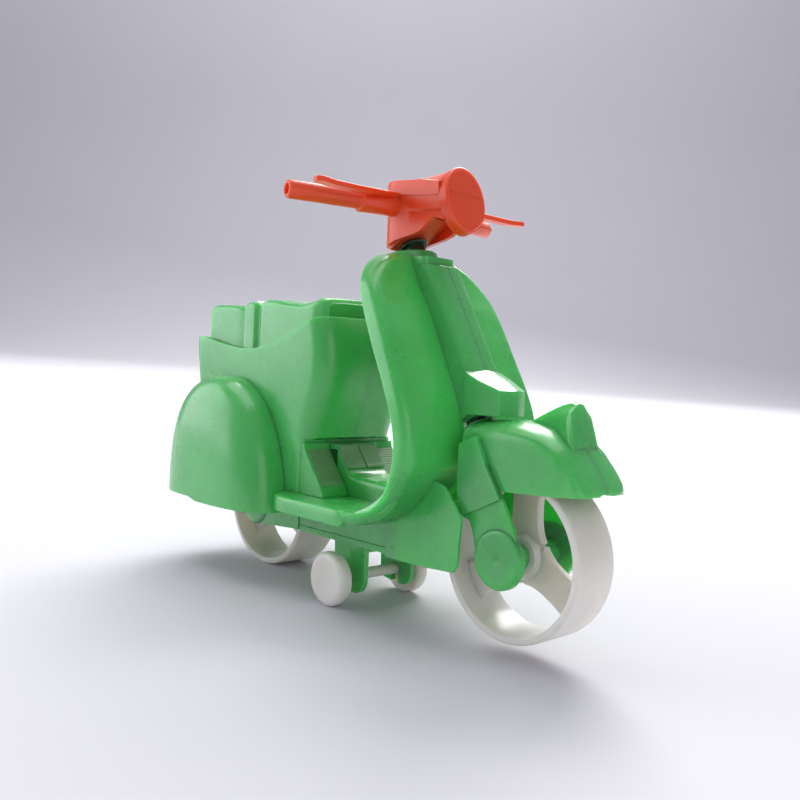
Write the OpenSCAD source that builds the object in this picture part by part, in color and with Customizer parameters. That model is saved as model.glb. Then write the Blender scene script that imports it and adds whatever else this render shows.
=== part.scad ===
// Push-along toy scooter in moulded plastic: thin-walled body halves, steering front unit,
// two spoked main wheels and a pair of small stabiliser wheels.
// Millimetres. +X is the front of the scooter, +Y its left, +Z up, Y = 0 its centre plane.
// Parts are drawn in the scooter's level frame (origin under the front axle) and stood at rest
// by the module rest(), nose up, on the rear wheel and the two stabiliser wheels.

/* [Node] */
// which node to draw

/* [Wheels] */
// radius of both main wheels
wheel_r = 15; // [12:0.5:18]
// width of the tyre ring
wheel_w = 10.3; // [8:0.1:12]
// thickness of the tyre ring
tyre_wall = 1.25; // [1:0.05:2]
// distance between front and rear axles
wheelbase = 74.5; // [66:0.5:82]
// width of a spoke
spoke_w = 6.2; // [4:0.2:8]
// thickness of the spoke web
spoke_t = 1.8; // [1.2:0.1:3]
// outer radius of the hub
hub_r = 4.2; // [3.6:0.1:5]
// half length of the hub
hub_half = 3.1; // [2.5:0.1:4]
// radius of the stub axles on the fork legs and rear arms
stub_r = 2; // [1.6:0.05:2.3]
// running clearance of the stubs in the hub, and of the post in its bearings
run_gap = 0.07; // [0.03:0.01:0.1]

/* [Stabilisers] */
// radius of a stabiliser wheel
stab_r = 5.48; // [5:0.1:6.5]
// thickness of a stabiliser wheel
stab_t = 3.1; // [2.4:0.1:4]
// half of the track, to the outer faces
stab_track = 12.1; // [11:0.1:14]
// how far the axle is pushed to the scooter's left (negative is to its right)
stab_slide = -1.15; // [-1.4:0.05:1.4]
// axle position behind the front axle
stab_x = -40.5; // [-44:0.5:-36]
// how far the stabilisers reach below the line of the main wheels
stab_drop = 1.42; // [1:0.02:2]
// diameter of the stabiliser axle
stab_axle_d = 2.3; // [2:0.1:3]

/* [Body] */
// wall thickness of the body mouldings
wall = 1.2; // [0.9:0.05:1.6]
// half width of the leg shield and floor
floor_half = 18.4; // [17:0.1:20]
// half width of the rear body
rear_half = 12.5; // [11:0.1:14]
// half width of the chassis rail under the floor
rail_half = 7.7; // [7:0.1:9]
// outer half width of the cheeks beside the front wheel
cheek_half = 9.9; // [9.5:0.1:10]
// level of the floorboard
floor_z = 20; // [19:0.1:21]
// level of the underside of the chassis rail
rail_z = 10.8; // [10:0.1:12]

/* [Cowls] */
// middle of the cowls behind the front axle
cowl_x = -78; // [-82:0.5:-74]
// length of a cowl in front of its middle
cowl_front = 21.8; // [18:0.2:24]
// length of a cowl behind its middle
cowl_back = 19.4; // [16:0.2:22]
// height of a cowl
cowl_rise = 28.8; // [24:0.2:32]
// how far a cowl stands out from the body
cowl_bulge = 9.5; // [7:0.1:11]
// level of the lower edge of the cowls
cowl_low = 15.3; // [14:0.1:17]

/* [Steering] */
// rake of the steering axis from upright
rake = 29.7; // [26:0.1:32]
// radius of the steering post
post_r = 2.05; // [1.8:0.05:2.3]
// half width of the steering column box
column_half = 4.2; // [3.8:0.1:5]

/* [Front unit] */
// half width of the mudguard
guard_half = 7; // [6.6:0.1:7.4]
// radius of the fork and rear arm discs
disc_r = 5.3; // [4.8:0.1:5.8]
// outer face of the discs from the centre plane
disc_out = 8.25; // [8:0.05:8.6]
// thickness of a disc
disc_t = 1.6; // [1.2:0.1:2]

/* [Handlebar] */
// half span of the grips
bar_half = 27.7; // [25:0.1:30]
// outer radius of a grip
grip_r = 1.8; // [1.6:0.05:2.2]
// bore radius of a grip
grip_bore = 1; // [0.8:0.05:1.2]
// half width of the headlight housing
nacelle_half = 5.2; // [4.6:0.1:6]
// level of the parting line
nacelle_split = 80.5; // [80:0.1:81]

/* [Hidden] */
$fn = 64;
axle_x = [0, -wheelbase];
stab_z = stab_r - stab_drop;
// nose-up angle at rest: the floor touches the rear wheel and the stabilisers
stab_reach = wheelbase + stab_x;
nose_up = atan2(stab_reach, stab_z - wheel_r)
    - acos((stab_r - wheel_r) / norm([stab_reach, stab_z - wheel_r]));
rest_x = 42.45;
rest_z = wheel_r - (wheel_r * cos(nose_up) - wheelbase * sin(nose_up));
post_bore = post_r + run_gap;
hub_bore = stub_r + run_gap;
stub_in = 1.2;
column_low = 26.2;
column_top = 63;
// level of the seat of the column cap
cap_seat = 67.6;
cap_top = 64.4;
post_low = 20.2;
post_top = 70.2;
crown_top = 25.6;
crown_r = 3.2;
cheek_t = 0.8;
pin_r = 1.4;
// pins that join the body halves: [x, z, reach of the boss from the centre plane]
pin_places = [[-88, 46.6, 11.6], [-61, 47, 11.6], [-34, 14.6, 6.8], [-50, 14.6, 6.8]];
// front and underside of the leg shield and floor, from the top down and back
shield_front = [
    [-30.2, 71], [-26.4, 64.6], [-22.2, 57.7], [-18.5, 50.4], [-15.1, 43.5], [-13.1, 38.3],
    [-12.4, 33.5], [-12.9, 29.5], [-14.7, 26], [-17.6, 22.8], [-21.4, 19.9], [-26, 17.7],
    [-32, 16.8], [-56, 16.8]
];
// rider's side of the same moulding, from the back forward and up
shield_back = [
    [-56, floor_z], [-27.4, floor_z], [-23, floor_z + 0.6], [-19.6, 22.8], [-16.8, 27.4],
    [-16.1, 32.8], [-16.5, 36.3], [-18.2, 41.5], [-21.4, 46.8], [-23.9, 51.3], [-27.3, 58],
    [-29.5, 62.5], [-34.5, 71]
];
// hollow behind the leg shield and under the floor
shield_hollow = [
    [-36.4, 71.5], [-31.6, 71.5], [-27.6, 64.6], [-23.4, 57.7], [-19.7, 50.4], [-16.3, 43.5],
    [-14.4, 38.3], [-13.7, 33.5], [-14.1, 29.8], [-18, 30], [-24, 48]
];
floor_hollow = [
    [-57, 15], [-27.5, 15], [-27.5, 18], [-30, floor_z - wall - 0.3], [-57, floor_z - wall]
];
// front view of the leg shield, half: [half width, level]
shield_edge = [
    [0, 70.2], [6, 69.9], [10.6, 68.4], [13.8, 66.3], [16, 63.4], [17, 60], [17.6, 52],
    [18.2, 43], [floor_half, 37], [floor_half, 10], [0, 10]
];
// side view of the rear body
rear_side = [
    [-97.8, 53.5], [-93.2, 53.2], [-84, 51.4], [-76, 50.5], [-69.3, 50.6], [-59.7, 53.1],
    [-52.5, 55.6], [-49.4, 57.2], [-47.2, 57.6], [-46.2, 57.2], [-44.4, 53.5], [-43.8, 50.6],
    [-43.9, 46.4], [-45.4, 40.6], [-48.5, 33.2], [-48.8, 31.6], [-51.5, 31.2], [-51.5, 14.9],
    [-92, 12.8], [-95, 14.5], [-95.9, 41.3]
];
rear_hollow = [
    [-96.5, 52.3], [-84, 50.1], [-76, 49.2], [-69, 49.3], [-59.3, 51.9], [-52, 54.4],
    [-48.6, 56.1], [-47.2, 55.8], [-45.6, 53.2], [-45, 50.4], [-45.1, 46.6], [-46.6, 41],
    [-50, 32.6], [-52.7, 32.2], [-52.7, 12], [-94, 11], [-94.7, 41.3]
];
seat_side = [
    [-93.4, 53.35], [-93.4, 60.4], [-92.6, 61.2], [-78.6, 60.6], [-77.6, 59.9], [-72.2, 59.9],
    [-71.4, 61.2], [-69.8, 61.7], [-63, 61.2], [-56, 60.5], [-51.6, 61.1], [-49.6, 61.6],
    [-48.4, 61], [-48, 59.9], [-48.6, 57.75], [-49.4, 57.35], [-52.5, 55.75], [-59.7, 53.25],
    [-69.3, 50.75], [-76, 50.65], [-84, 51.55], [-93.2, 53.35]
];
ramp_side = [
    [-51.4, 30.9], [-50.4, 30.9], [-50.2, 29], [-44.2, 21.9], [-43.4, 20.6], [-43.4, 19.7],
    [-51.4, 19.7]
];
tunnel_side = [
    [-51.4, 30.9], [-47.6, 30.9], [-47.2, 29.4], [-44.2, 25.2], [-43, 24.2], [-22.6, 23.4],
    [-22.6, 21], [-27.2, 20.3], [-27.2, 19.7], [-51.4, 19.7]
];
cheek_side = [
    [-10.6, 27.4], [-9.5, 22.9], [-7.1, 22.3], [-7.5, 12.4], [-8.5, 11.2], [-24, rail_z],
    [-27, rail_z], [-27, 17.4], [-21.6, 20.2], [-17.9, 23], [-15, 26.2], [-13.4, 29]
];
guard_side = [
    [-10.2, 38.2], [-3, 38.9], [2, 38.8], [6, 38.1], [9, 37], [11.2, 35.5], [13.2, 33.4],
    [15, 31], [16, 29.2], [16.2, 27.9], [9, 27.1], [-0.6, 26.6], [-6.5, 27.5], [-10.4, 33]
];
guard_low = [
    [-9.9, 35.8], [-3, 36.3], [2, 36.1], [6, 35.1], [9, 33.8], [11.2, 32.4], [13.2, 30.9],
    [14.9, 29.2], [15.6, 27.8], [9, 27.1], [-0.6, 26.6], [-6.5, 27.5], [-9.9, 33]
];
leg_side = [
    [-9.9, 34.2], [-6, 35.9], [-3.5, 31.1], [0.3, 25.5], [3, 20.8], [4.7, 17.4], [0, 12],
    [-5.2, 15.6], [-6.6, 20.6], [-9.2, 21.3], [-9.9, 25.7]
];
leg_raised = [
    [-9.9, 34.2], [-6, 35.9], [-3.5, 31.1], [0.3, 25.5], [-4.2, 23.3], [-9.2, 21.3], [-9.9, 25.7]
];
horn_side = [
    [-14.2, 47.9], [-12.4, 47.9], [-3.9, 44.1], [-1.9, 44.1], [-1.9, 39.8], [-12, 39.6],
    [-15.6, 45]
];
// plan of the horn cover, drawn in to a ridge down its nose, and of the hollow under it
horn_plan = [
    [-17, -5], [-9, -4.9], [-4.8, -3.5], [-3.4, 0], [-4.8, 3.5], [-9, 4.9], [-17, 5]
];
horn_hollow = [
    [-18, -3.8], [-9, -3.6], [-5.9, -2.4], [-5, 0], [-5.9, 2.4], [-9, 3.6], [-18, 3.8]
];
// plan of the mudguard, right half
guard_plan = [
    [-12, 0], [-12, -guard_half], [13.4, -guard_half], [14.6, -guard_half + 0.4],
    [15.4, -guard_half + 1.3], [15.9, -guard_half + 3], [16.2, 0]
];

// ---------- placing ----------

// stands the level scooter at rest and centres it
module rest() {
    translate([rest_x, 0, rest_z])
        rotate([0, -nose_up, 0])
            children();
}

// local z runs up the steering axis from the front axle
module on_axis() {
    translate([0, 0, wheel_r])
        rotate([0, -rake, 0])
            children();
}

// extrudes an [x, z] outline from y0 to y1
module slab(outline, y0, y1) {
    translate([0, y1, 0])
        rotate([90, 0, 0])
            linear_extrude(y1 - y0)
                polygon(outline);
}

// a round bar along Y at [x, z] from y0 to y1
module bar_y(x, z, r, y0, y1) {
    translate([x, y1, z])
        rotate([90, 0, 0])
            cylinder(r = r, h = y1 - y0);
}

module left_of_centre() {
    mirror([0, 1, 0])
        children();
}

// ---------- body ----------

// outline of the leg shield seen from the front, shrunk by inset and swept along X
module shield_envelope(inset) {
    side = [for (p = shield_edge) [-max(p[0] - inset, 0), p[1] - inset]];
    translate([-70, 0, 0])
        rotate([90, 0, 90])
            linear_extrude(80)
                polygon(side);
}

module shield_half() {
    difference() {
        intersection() {
            slab(concat(shield_front, shield_back), -floor_half, 0);
            shield_envelope(0);
        }
        intersection() {
            slab(shield_hollow, -floor_half, 1);
            shield_envelope(wall);
        }
        intersection() {
            slab(floor_hollow, -floor_half, 1);
            shield_envelope(wall);
        }
    }
}

// box round the steering post, with its front face
module column_half_box() {
    on_axis()
        translate([0, 0, column_low])
            linear_extrude(column_top - column_low)
                polygon([
                    [-3.9, 0], [-3.9, -3.4], [-3.1, -column_half], [5.3, -column_half],
                    [6.1, -column_half + 0.9], [6.3, 0]
                ]);
}

module column_half_hollow() {
    on_axis()
        translate([0, 0, column_low - 1])
            linear_extrude(column_top - column_low + 2)
                polygon([
                    [-2.8, 0.1], [-2.8, -3.1], [4.9, -3.1], [5.2, 0.1]
                ]);
}

module rear_plan(inset) {
    h = rear_half - inset;
    front = -43.8 - inset;
    back = -97.8 + inset;
    translate([0, 0, 5])
        linear_extrude(60)
            polygon([
                [front, 0.1], [front, -h + 2.6], [front - 0.9, -h + 0.9], [front - 2.6, -h],
                [back + 4, -h], [back + 1.2, -h + 1], [back, -h + 3.6], [back, 0.1]
            ]);
}

module rear_shell_half() {
    difference() {
        intersection() {
            slab(rear_side, -rear_half, 0);
            rear_plan(0);
        }
        intersection() {
            slab(rear_hollow, -rear_half, 1);
            rear_plan(wall);
        }
        // the leg shield's floor comes in at the front foot of the shell
        translate([-52, -rear_half - 1, 10])
            cube([10, rear_half + 2, 10]);
    }
}

module rail_half_box() {
    difference() {
        translate([-57.4, -rail_half, rail_z + wall])
            cube([33.4, rail_half, 16.8 - rail_z - wall]);
        translate([-56.2, -rail_half + wall, rail_z])
            cube([31, rail_half, 20 - rail_z]);
    }
}

// shelf that joins the rail, the rear shell and the floor behind the ramp
module rear_shelf_half() {
    translate([-57.4, -rear_half + 0.4, 15.6])
        cube([5.9, rear_half - 0.4, wall]);
}

module body_half() {
    difference() {
        union() {
            shield_half();
            column_half_box();
            rail_half_box();
            rear_shelf_half();
            rear_shell_half();
            slab(cheek_side, -cheek_half, -cheek_half + cheek_t);
            for (p = pin_places)
                bar_y(p[0], p[1], 2.5, -p[2], 0);
            translate([-27, -cheek_half, rail_z])
                cube([3, cheek_half - rail_half + wall, 6.4]);
        }
        column_half_hollow();
        for (p = pin_places)
            bar_y(p[0], p[1], pin_r + 0.04, -5.2, 1);
        wheel_pocket();
        slot_for_rear_wheel();
        floor_seats();
        // seat of the column cap
        translate([-45, -5.45, cap_seat])
            cube([30, 10.9, 20]);
    }
}

// room for the front wheel, mudguard and fork as they steer
module wheel_pocket() {
    inner = cheek_half - cheek_t;
    bar_y(0, wheel_r, 18.8, -inner, inner);
    slab([[-13.2, 27], [-11.6, 40.3], [4, 48], [4, 27]], -inner, inner);
    on_axis()
        translate([0, 0, 12])
            cylinder(r = crown_r + 0.75, h = column_low - 12.01);
}

// shallow seats in the floorboard for the tunnel and the foot ramp
module floor_seats() {
    translate([-51.45, -5.55, 19.7])
        cube([24.3, 6.55, 0.8]);
    translate([-51.45, -rear_half - 0.45, 19.7])
        cube([8.1, 7.5, 0.8]);
}

module slot_for_rear_wheel() {
    bar_y(-wheelbase, wheel_r, wheel_r + 1.2, -6.4, 6.4);
}

module body_right() {
    color([0.25, 0.65, 0.36])
        rest()
            body_half();
}

module body_left() {
    color([0.25, 0.65, 0.36])
        rest()
            left_of_centre()
                body_half();
}

// textured foot ramp at the foot of the rear body, with cross grooves
module foot_ramp_half() {
    difference() {
        slab(ramp_side, -rear_half - 0.4, -5.6);
        for (i = [0 : 4])
            translate([-45.3 - i * 1.15, -rear_half - 1, 23.4 + i * 1.36])
                rotate([0, -50, 0])
                    cube([0.45, 6.2, 0.6]);
    }
}

module foot_ramp_right() {
    color([0.62, 0.72, 0.55])
        rest()
            foot_ramp_half();
}

module foot_ramp_left() {
    color([0.62, 0.72, 0.55])
        rest()
            left_of_centre()
                foot_ramp_half();
}

module floor_tunnel() {
    color([0.3, 0.7, 0.38])
        rest()
            difference() {
                slab(tunnel_side, -5.5, 5.5);
                slab([[-50.6, 19], [-50.6, 29.6], [-48, 29.2], [-45, 24.2], [-24, 22.5], [-24, 19]],
                    -4.5, 4.5);
            }
}

module seat() {
    color([0.27, 0.66, 0.36])
        rest()
            difference() {
                slab(seat_side, -rear_half + 1, rear_half - 1);
                slab([
                    [-92.2, 52.4], [-92.2, 59.4], [-78.6, 59.2], [-72, 58.7], [-70, 60.2],
                    [-56, 59.2], [-50, 60], [-50, 56.2], [-59.7, 52.2], [-69.3, 49.9], [-76, 49.9]
                ], -rear_half + 2.2, rear_half - 2.2);
            }
}

// one side cowl: its outline in side view, drawn in towards the outermost point
module cowl_solid(inset) {
    rings = 11;
    steps = 26;
    n = steps + 1;
    low = cowl_low - (inset > 0 ? 1 : 0);
    points = [
        for (i = [0 : rings])
            let (a = 88 * i / rings, shrink = pow(cos(a), 0.62), depth = pow(sin(a), 0.62))
                for (j = [0 : steps])
                    let (b = 180 * j / steps, q = b < 90 ? 2 : 2.8)
                        let (reach = (b < 90 ? cowl_front : cowl_back) - inset)
                            [
                                cowl_x + sign(cos(b)) * reach * shrink * pow(abs(cos(b)), 2 / q),
                                -rear_half - (cowl_bulge - inset) * depth,
                                low + (cowl_rise - inset) * shrink * pow(sin(b), 2 / q)
                            ]
    ];
    outer = rings * n;
    faces = concat(
        [for (i = [0 : rings - 1], j = [0 : steps - 1])
            [i * n + j, (i + 1) * n + j + 1, i * n + j + 1]],
        [for (i = [0 : rings - 1], j = [0 : steps - 1])
            [i * n + j, (i + 1) * n + j, (i + 1) * n + j + 1]],
        [for (i = [0 : rings - 1]) [i * n + steps, (i + 1) * n, i * n]],
        [for (i = [0 : rings - 1]) [i * n + steps, (i + 1) * n + steps, (i + 1) * n]],
        [[for (j = [0 : steps]) j]],
        [[for (j = [steps : -1 : 0]) outer + j]]
    );
    polyhedron(points, faces);
}

module cowl_half() {
    difference() {
        cowl_solid(0);
        translate([0, 0.5, 0])
            cowl_solid(wall);
    }
}

module cowl_right() {
    color([0.3, 0.66, 0.38])
        rest()
            cowl_half();
}

module cowl_left() {
    color([0.3, 0.66, 0.38])
        rest()
            left_of_centre()
                cowl_half();
}

module horn_cover() {
    color([0.2, 0.6, 0.3])
        rest()
            difference() {
                intersection() {
                    slab(horn_side, -5, 5);
                    translate([0, 0, 38])
                        linear_extrude(12)
                            polygon(horn_plan);
                }
                intersection() {
                    slab([[-18, 45], [-13, 46.6], [-4.2, 42.7], [-2, 42.7], [-2, 37], [-18, 37]], -4, 4);
                    translate([0, 0, 36])
                        linear_extrude(14)
                            polygon(horn_hollow);
                }
                column_space();
            }
}

// the space the column box takes, with a hair of clearance
module column_space() {
    on_axis()
        translate([-4, -column_half - 0.02, column_low - 6])
            cube([10.32, 2 * column_half + 0.04, 50]);
}

module column_cap() {
    color([0.18, 0.5, 0.25])
        rest()
            difference() {
                union() {
                    translate([-33.1, 0, cap_seat + 1.3])
                        rotate([0, -7, 0])
                            cylinder(r = 5.3, h = 1.5);
                    translate([-36, -column_half, cap_seat])
                        cube([11.5, 2 * column_half, 1.8]);
                    on_axis()
                        translate([-2.7, -3, 53.5])
                            cube([7.5, 6, 5]);
                }
                on_axis()
                    translate([0, 0, 50])
                        cylinder(r = post_bore, h = 20);
            }
}

module lower_bush() {
    color([0.2, 0.55, 0.28])
        rest()
            on_axis()
                difference() {
                    translate([-2.7, -3, column_low + 0.3])
                        cube([7.5, 6, 4.6]);
                    translate([0, 0, column_low - 1])
                        cylinder(r = post_bore, h = 8);
                }
}

// ---------- chassis plate, brackets, stabilisers ----------

module chassis_plate() {
    color([0.2, 0.6, 0.3])
        rest()
            union() {
                translate([-57.4, -rail_half, rail_z])
                    cube([30.35, 2 * rail_half, wall]);
                translate([-56, -rail_half + wall + 0.05, rail_z + wall])
                    cube([1.4, 2 * (rail_half - wall - 0.05), 1.4]);
            }
}

// plate with a snap-in slot, open downward, that holds the stabiliser axle
module bracket_half() {
    bore = stab_axle_d / 2 + run_gap;
    difference() {
        union() {
            slab([
                [stab_x - 5, rail_z], [stab_x - 4.6, 3], [stab_x - 3.6, 1.6], [stab_x - 1.4, 1.3],
                [stab_x + 2.4, 0.9], [stab_x + 4.2, 1.7], [stab_x + 4.9, 3.2], [stab_x + 4.9, rail_z]
            ], -7.15, -5.9);
            translate([stab_x - 5, -7.15, rail_z - 1.2])
                cube([9.9, 3.4, 1.2]);
        }
        bar_y(stab_x, stab_z, bore, -8, -5);
        translate([stab_x - bore * 0.82, -8, -1])
            cube([bore * 1.64, 3, 1 + stab_z]);
    }
}

module bracket_right() {
    color([0.15, 0.5, 0.22])
        rest()
            bracket_half();
}

module bracket_left() {
    color([0.15, 0.5, 0.22])
        rest()
            left_of_centre()
                bracket_half();
}

module stabiliser_axle() {
    color([0.9, 0.87, 0.8])
        rest()
            bar_y(stab_x, stab_z, stab_axle_d / 2, -stab_track + 0.9 + stab_slide,
                stab_track - 0.9 + stab_slide);
}

module stabiliser_wheel(y0) {
    difference() {
        union() {
            bar_y(stab_x, stab_z, stab_r, y0, y0 + stab_t);
        }
        bar_y(stab_x, stab_z, stab_axle_d / 2, y0 + 0.9 * (y0 < 0 ? 1 : -1),
            y0 + stab_t + 0.9 * (y0 < 0 ? 1 : -1));
    }
}

module stabiliser_wheel_right() {
    color([0.92, 0.89, 0.83])
        rest()
            stabiliser_wheel(-stab_track + stab_slide);
}

module stabiliser_wheel_left() {
    color([0.92, 0.89, 0.83])
        rest()
            stabiliser_wheel(stab_track - stab_t + stab_slide);
}

// ---------- main wheels ----------

module main_wheel(x) {
    translate([x, 0, wheel_r])
        rotate([90, 0, 0])
            difference() {
                union() {
                    difference() {
                        cylinder(r = wheel_r, h = wheel_w, center = true, $fn = 128);
                        cylinder(r = wheel_r - tyre_wall, h = wheel_w + 2, center = true, $fn = 128);
                    }
                    cylinder(r = hub_r, h = 2 * hub_half, center = true);
                    for (a = [90, 210, 330])
                        rotate([0, 0, a])
                            translate([1, -spoke_w / 2, -spoke_t / 2])
                                cube([wheel_r - tyre_wall - 0.6, spoke_w, spoke_t]);
                }
                cylinder(r = hub_bore, h = 2 * hub_half + 2, center = true);
            }
}

module front_wheel() {
    color([0.92, 0.89, 0.83])
        rest()
            main_wheel(axle_x[0]);
}

module rear_wheel() {
    color([0.92, 0.89, 0.83])
        rest()
            main_wheel(axle_x[1]);
}

// disc and stub axle on the right side of a wheel
module disc_and_stub(x) {
    bar_y(x, wheel_r, disc_r, -disc_out, -disc_out + disc_t);
    bar_y(x, wheel_r, stub_r, -disc_out + 0.5, -stub_in);
}

// rear arm from the chassis rail to the rear axle
module rear_arm_half() {
    union() {
        disc_and_stub(-wheelbase);
        slab([
            [-wheelbase + 1, 10], [-57.5, rail_z + 0.1], [-57.5, 15.3], [-61, 20],
            [-wheelbase + 0.5, 20]
        ], -disc_out + 0.3, -disc_out + 1.4);
    }
}

module rear_arm_right() {
    color([0.2, 0.58, 0.3])
        rest()
            rear_arm_half();
}

module rear_arm_left() {
    color([0.2, 0.58, 0.3])
        rest()
            left_of_centre()
                rear_arm_half();
}

// pins that join the two body halves inside
module assembly_pins() {
    color([0.25, 0.6, 0.33])
        rest()
            for (p = pin_places)
                bar_y(p[0], p[1], pin_r, -5, 5);
}

// ---------- front unit ----------

module guard_solid() {
    intersection() {
        hull() {
            slab(guard_side, -4.2, 0);
            slab(guard_low, -guard_half, -4.2);
        }
        translate([0, 0, 20])
            linear_extrude(30)
                polygon(guard_plan);
    }
}

module guard_half_shell() {
    inner_side = [for (p = guard_side) [p[0] * 0.935 - 0.1, min(p[1], 39) - wall]];
    inner_low = [for (p = guard_low) [p[0] * 0.935 - 0.1, p[1] - wall]];
    difference() {
        guard_solid();
        bar_y(0, wheel_r, wheel_r + 1.6, -guard_half + wall, 1);
        intersection() {
            hull() {
                slab(inner_side, -3.8, 1);
                slab(inner_low, -guard_half + wall, -3.8);
            }
            translate([0, 0, 20])
                linear_extrude(30)
                    polygon([for (p = guard_plan) [p[0] * 0.94 - 0.2, p[1] * 0.82 + 0.01]]);
        }
        on_axis()
            translate([0, 0, 10])
                cylinder(r = crown_r + 0.03, h = 30);
    }
}

module mudguard_right() {
    color([0.28, 0.66, 0.36])
        rest()
            guard_half_shell();
}

module mudguard_left() {
    color([0.28, 0.66, 0.36])
        rest()
            left_of_centre()
                guard_half_shell();
}

module mudguard_crest() {
    color([0.25, 0.65, 0.32])
        rest()
            difference() {
                hull() {
                    slab([[0.4, 38.6], [9, 42.7], [10.6, 41.7], [11.4, 35.4], [6, 36]], -1.4, 1.4);
                    slab([[3, 38], [9, 41.2], [10.6, 40.2], [11.4, 35.4], [6, 36]], -3.4, 3.4);
                }
                guard_solid();
                left_of_centre()
                    guard_solid();
            }
}

module fork_crown() {
    color([0.2, 0.58, 0.28])
        rest()
            on_axis()
                difference() {
                    union() {
                        translate([0, 0, post_low])
                            cylinder(r = crown_r, h = crown_top - post_low);
                        rotate([0, rake, 0])
                            bar_y(-8, 17.9, 1.5, -guard_half + 1.85, guard_half - 1.85);
                    }
                    translate([0, 0, post_low - 1])
                        cylinder(r = post_r, h = 12);
                }
}

module fork_leg_half() {
    union() {
        disc_and_stub(0);
        slab(leg_side, -7.95, -guard_half);
        slab(leg_raised, -8.3, -guard_half);
    }
}

module fork_leg_right() {
    color([0.22, 0.62, 0.3])
        rest()
            fork_leg_half();
}

module fork_leg_left() {
    color([0.22, 0.62, 0.3])
        rest()
            left_of_centre()
                fork_leg_half();
}

module steering_post() {
    color([0.08, 0.2, 0.1])
        rest()
            on_axis()
                translate([0, 0, post_low])
                    cylinder(r = post_r, h = post_top - post_low);
}

module post_clip() {
    color([0.1, 0.22, 0.12])
        rest()
            on_axis()
                translate([0, 0, cap_top + 0.9])
                    difference() {
                        cylinder(r = 2.9, h = 0.65);
                        translate([0, 0, -1])
                            cylinder(r = post_r, h = 3);
                    }
}

// ---------- handlebar ----------

module nacelle_plan(inset) {
    hull() {
        translate([-33, 0])
            circle(r = 5.5 - inset);
        translate([-18.8, -nacelle_half + inset])
            square([0.4, 2 * (nacelle_half - inset)]);
    }
}

module nacelle(z0, z1, inset) {
    translate([0, 0, z0])
        linear_extrude(z1 - z0)
            nacelle_plan(inset);
}

// everything in front of the back of the headlight
module headlight_side() {
    translate([-20.4, 0, 79.5])
        rotate([0, 90 - 12, 0])
            translate([-20, -20, 0])
                cube([40, 40, 20]);
}

// swept bar arm and grip on the right side
module bar_arm(r_arm, r_grip, y0) {
    a = atan((38.3 - 32.5) / (bar_half - 5));
    translate([-32.5, 0, 79.8])
        rotate([0, 0, -a])
            union() {
                rotate([90, 0, 0])
                    cylinder(r = r_arm, h = 16);
                rotate([90, 0, 0])
                    cylinder(r = r_grip, h = (bar_half) / cos(a));
            }
}

module grip_bore_cut() {
    a = atan((38.3 - 32.5) / (bar_half - 5));
    translate([-32.5, 0, 79.8])
        rotate([0, 0, -a])
            translate([0, -bar_half / cos(a) + 18, 0])
                rotate([90, 0, 0])
                    cylinder(r = grip_bore, h = 30);
}

module handlebar_lower() {
    color([0.8, 0.18, 0.08])
        rest()
            difference() {
                union() {
                    difference() {
                        nacelle(71.6, nacelle_split, 0);
                        nacelle(70, nacelle_split + 1, 1.1);
                        slab([
                            [-40, 65], [-40, 71.4], [-34.5, 72], [-28, 74.6], [-25, 75.5],
                            [-22.5, 76.6], [-17, 77.4], [-17, 65]
                        ], -9, 9);
                    }
                    intersection() {
                        nacelle(71.6, nacelle_split, 0.5);
                        on_axis()
                            translate([-3.3, -6, post_top - 4.2])
                                cube([14, 12, 1.6]);
                    }
                    on_axis()
                        translate([0, 0, post_top - 4.2])
                            cylinder(r = 3.1, h = 4.2);
                }
                on_axis()
                    translate([0, 0, 60])
                        cylinder(r = post_r, h = 30);
                bar_arm(2.24, 2.24);
                left_of_centre()
                    bar_arm(2.24, 2.24);
                headlight_side();
            }
}

module handlebar_upper() {
    color([0.85, 0.2, 0.1])
        rest()
            difference() {
                union() {
                    nacelle(nacelle_split, 84.8, 0);
                    bar_arm(2.2, grip_r);
                    left_of_centre()
                        bar_arm(2.2, grip_r);
                }
                nacelle(nacelle_split - 1, 83.6, 1.1);
                grip_bore_cut();
                left_of_centre()
                    grip_bore_cut();
                headlight_side();
            }
}

module headlight() {
    color([0.8, 0.22, 0.12])
        rest()
            translate([-20.4, 0, 79.5])
                rotate([0, 90 - 12, 0])
                    scale([1, 0.8, 1])
                        cylinder(r = 6.6, h = 2.2);
}

module lever_half() {
    translate([0, 0, nacelle_split])
        linear_extrude(0.9)
            polygon([
                [-34, -nacelle_half], [-33, -9], [-31.9, -15], [-30.4, -23], [-29.6, -27.4],
                [-29, -28.3], [-28.2, -28.6], [-27.4, -28.2], [-27.1, -27.2], [-27.8, -22],
                [-29, -14], [-29.8, -9], [-30, -nacelle_half]
            ]);
}

module lever_right() {
    color([0.85, 0.3, 0.15])
        rest()
            lever_half();
}

module lever_left() {
    color([0.85, 0.3, 0.15])
        rest()
            left_of_centre()
                lever_half();
}

// ---------- drawing ----------

body_right();
body_left();
foot_ramp_right();
foot_ramp_left();
floor_tunnel();
seat();
cowl_right();
cowl_left();
horn_cover();
column_cap();
lower_bush();
chassis_plate();
bracket_right();
bracket_left();
rear_arm_right();
rear_arm_left();
assembly_pins();
rear_wheel();
stabiliser_axle();
stabiliser_wheel_right();
stabiliser_wheel_left();
mudguard_right();
mudguard_left();
mudguard_crest();
fork_crown();
fork_leg_right();
fork_leg_left();
front_wheel();
steering_post();
post_clip();
handlebar_lower();
handlebar_upper();
headlight();
lever_right();
lever_left();
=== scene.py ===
import math

import bmesh
import bpy
from mathutils import Matrix, Vector


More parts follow.
